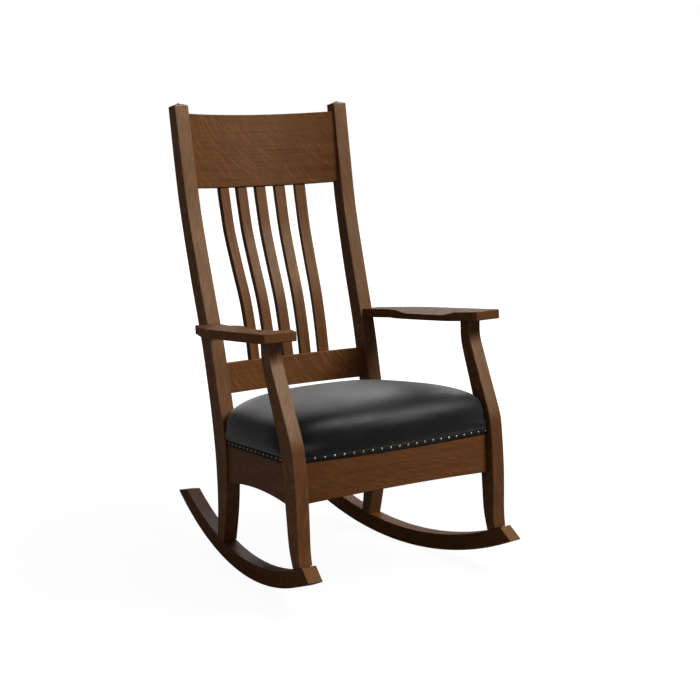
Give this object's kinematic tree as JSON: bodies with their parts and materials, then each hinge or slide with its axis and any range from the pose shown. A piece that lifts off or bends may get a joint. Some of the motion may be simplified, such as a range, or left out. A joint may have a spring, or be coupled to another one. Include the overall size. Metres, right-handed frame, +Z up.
{
  "type": "rocking chair",
  "caption": "Mission style high-backed rocking chair: slatted oak back, sloping open arms, crowned leather seat edged with nails, on two curved rockers.",
  "frame": {"origin": "middle of the whole chair's base on the floor: halfway between the rockers' ends and between the two sides", "axes": "+Z up; -Y is the way the sitter faces; +X to the right as seen from the front; the chair is symmetric about X = 0"},
  "size_m": [0.6818, 0.7954, 1.1179],
  "materials": {
    "oak_rockers": "satin",
    "oak_posts": "satin",
    "oak_arms": "satin",
    "oak_rails": "satin",
    "oak_slats": "satin",
    "oak_plugs": "satin",
    "plain_wood": "matte",
    "plywood": "matte",
    "steel": "zinc plated",
    "foam": "matte",
    "seat_leather": "semi-gloss",
    "border_leather": "semi-gloss",
    "nail_brass": "dull"
  },
  "bodies": {
    "root": {"rocker_left": "oak_rockers", "rocker_right": "oak_rockers", "rear_post_left": "oak_posts", "rear_post_right": "oak_posts", "front_post_left": "oak_posts", "front_post_right": "oak_posts", "arm_left": "oak_arms", "arm_right": "oak_arms", "crest_rail": "oak_rails", "lower_back_rail": "oak_rails", "back_slat_1": "oak_slats", "back_slat_2": "oak_slats", "back_slat_3": "oak_slats", "back_slat_4": "oak_slats", "back_slat_5": "oak_slats", "front_seat_rail": "oak_rails", "rear_seat_rail": "oak_rails", "side_rail_left": "oak_rails", "side_rail_right": "oak_rails", "corner_block_front_left": "plain_wood", "corner_block_front_right": "plain_wood", "corner_block_rear_left": "plain_wood", "corner_block_rear_right": "plain_wood", "corner_block_screws": "steel", "rocker_dowels": "plain_wood", "arm_dowels": "plain_wood", "arm_screws": "steel", "screw_plugs": "oak_plugs", "seat_board": "plywood", "seat_foam": "foam", "seat_cover": "seat_leather", "seat_border": "border_leather", "seat_nails": "nail_brass"}
  },
  "joints": []
}
